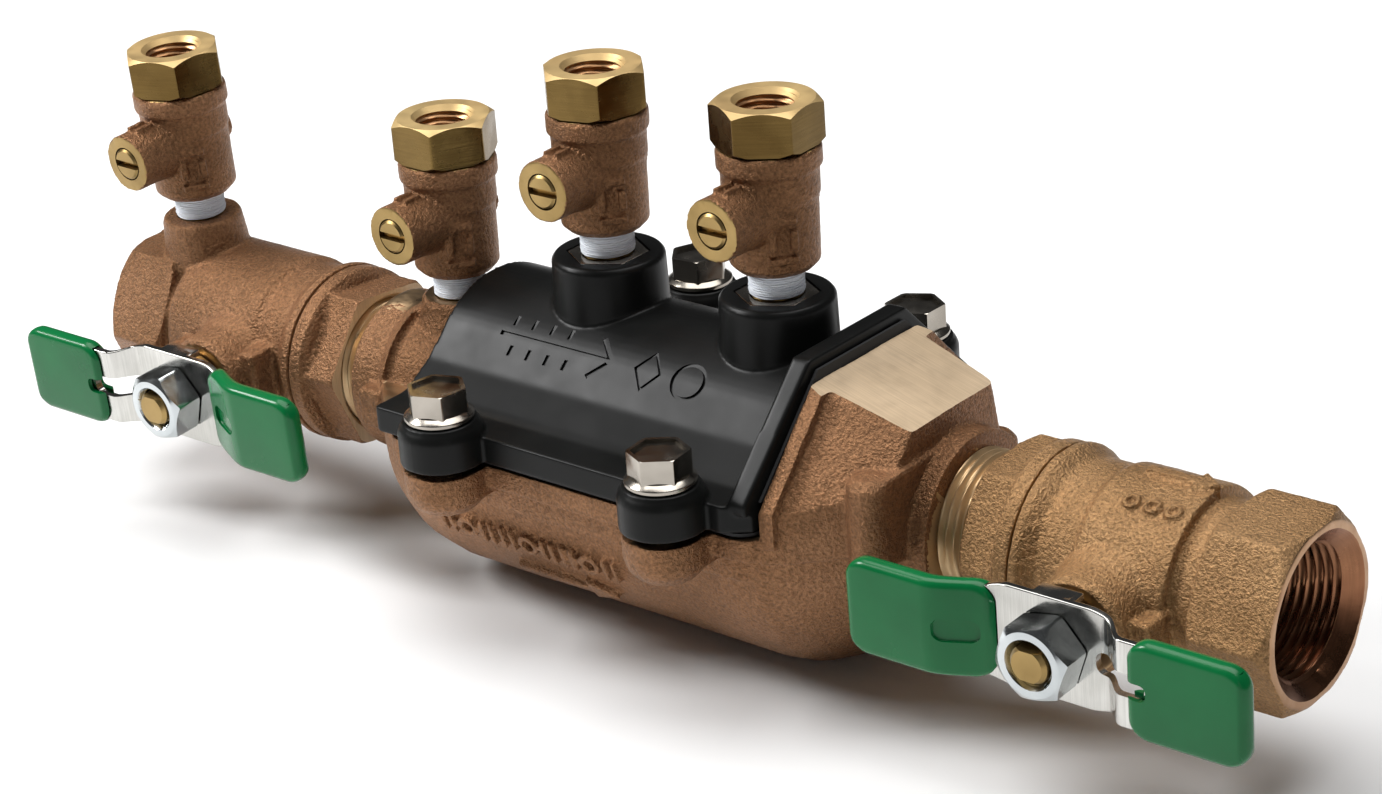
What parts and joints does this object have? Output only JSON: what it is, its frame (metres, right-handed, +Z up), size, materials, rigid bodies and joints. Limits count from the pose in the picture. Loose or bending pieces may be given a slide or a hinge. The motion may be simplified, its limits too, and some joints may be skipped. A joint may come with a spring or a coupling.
{
  "type": "backflow preventer",
  "caption": "Inline double check backflow preventer: bronze body with black bolted cover, green tee-handle ball valves and slotted test cocks.",
  "frame": {"origin": "centre of the inlet face, on the pipe axis", "axes": "+X along the flow from inlet to outlet, +Z up through the test cocks, +Y away from the handles"},
  "size_m": [0.3198, 0.1016, 0.1153],
  "materials": {
    "cast_bronze": "sand cast red bronze, as cast with machined faces",
    "machined_brass": "machined yellow brass",
    "white_seat_polymer": "white seat polymer",
    "green_vinyl": "dipped green vinyl, glossy",
    "stamped_steel": "stamped and polished steel",
    "zinc_plate": "bright zinc plated steel",
    "white_thread_tape": "white thread sealing tape",
    "black_polymer": "moulded black polymer, satin",
    "black_rubber": "black rubber",
    "stainless_steel": "stainless steel",
    "pale_acetal": "pale moulded acetal"
  },
  "bodies": {
    "assembly": {"inlet_valve_body": "cast_bronze", "inlet_valve_adapter": "cast_bronze", "inlet_ball_seat_a": "white_seat_polymer", "inlet_ball_seat_b": "white_seat_polymer", "inlet_packing_gland": "machined_brass", "outlet_valve_body": "cast_bronze", "outlet_valve_adapter": "cast_bronze", "outlet_ball_seat_a": "white_seat_polymer", "outlet_ball_seat_b": "white_seat_polymer", "outlet_packing_gland": "machined_brass", "cock_1_body": "cast_bronze", "cock_1_cap": "machined_brass", "cock_1_thread_tape": "white_thread_tape", "cock_2_body": "cast_bronze", "cock_2_cap": "machined_brass", "cock_2_thread_tape": "white_thread_tape", "cock_3_body": "cast_bronze", "cock_3_cap": "machined_brass", "cock_3_thread_tape": "white_thread_tape", "cock_4_body": "cast_bronze", "cock_4_cap": "machined_brass", "cock_4_thread_tape": "white_thread_tape", "main_body": "cast_bronze", "access_cover": "black_polymer", "cover_gasket": "black_rubber", "end_gasket": "black_rubber", "cover_bolt_1": "stainless_steel", "cover_bolt_2": "stainless_steel", "cover_bolt_3": "stainless_steel", "cover_bolt_4": "stainless_steel", "port_insert_3": "stainless_steel", "port_insert_4": "stainless_steel", "check_1_seat": "pale_acetal", "check_1_spring": "stainless_steel", "check_1_cage": "pale_acetal", "check_2_seat": "pale_acetal", "check_2_spring": "stainless_steel", "check_2_cage": "pale_acetal"},
    "inlet_handle": {"inlet_ball": "machined_brass", "inlet_valve_stem": "machined_brass", "inlet_handle_plate": "stamped_steel", "inlet_grip_long": "green_vinyl", "inlet_grip_short": "green_vinyl", "inlet_handle_nut": "zinc_plate"},
    "outlet_handle": {"outlet_ball": "machined_brass", "outlet_valve_stem": "machined_brass", "outlet_handle_plate": "stamped_steel", "outlet_grip_long": "green_vinyl", "outlet_grip_short": "green_vinyl", "outlet_handle_nut": "zinc_plate"},
    "cock_1_plug": {"cock_1_stem": "machined_brass"},
    "cock_2_plug": {"cock_2_stem": "machined_brass"},
    "cock_3_plug": {"cock_3_stem": "machined_brass"},
    "cock_4_plug": {"cock_4_stem": "machined_brass"},
    "check_1_valve": {"check_1_poppet": "pale_acetal", "check_1_disc": "black_rubber"},
    "check_2_valve": {"check_2_poppet": "pale_acetal", "check_2_disc": "black_rubber"}
  },
  "joints": [
    {"name": "inlet_handle_turn", "type": "hinge", "parent": "assembly", "child": "inlet_handle", "pos_m": [0.0402, 0, 0], "axis": [0, 0.9982, 0.06], "range_deg": [0, 90]},
    {"name": "outlet_handle_turn", "type": "hinge", "parent": "assembly", "child": "outlet_handle", "pos_m": [0.2724, 0, 0.0018], "axis": [0, 0.9997, 0.024], "range_deg": [0, 90]},
    {"name": "cock_1_turn", "type": "hinge", "parent": "assembly", "child": "cock_1_plug", "pos_m": [0.0175, -0.0027, 0.04502], "axis": [0.028, 0.9978, 0.0599], "range_deg": [0, 90]},
    {"name": "cock_2_turn", "type": "hinge", "parent": "assembly", "child": "cock_2_plug", "pos_m": [0.0959, 0.001, 0.0404], "axis": [0.028, 0.9996, 0], "range_deg": [0, 90]},
    {"name": "cock_3_turn", "type": "hinge", "parent": "assembly", "child": "cock_3_plug", "pos_m": [0.14, 0.001, 0.0586], "axis": [0, 1, 0], "range_deg": [0, 90]},
    {"name": "cock_4_turn", "type": "hinge", "parent": "assembly", "child": "cock_4_plug", "pos_m": [0.1844, 0.001, 0.0586], "axis": [0.028, 0.9996, 0], "range_deg": [0, 90]},
    {"name": "check_1_slide", "type": "slide", "parent": "assembly", "child": "check_1_valve", "axis": [1, 0, 0], "range_m": [0, 0.0065], "stiffness_N_per_m": 150, "springref_m": -0.011, "deforming": ["check_1_spring"]},
    {"name": "check_2_slide", "type": "slide", "parent": "assembly", "child": "check_2_valve", "axis": [1, 0, 0], "range_m": [0, 0.0065], "stiffness_N_per_m": 150, "springref_m": -0.011, "deforming": ["check_2_spring"]}
  ]
}
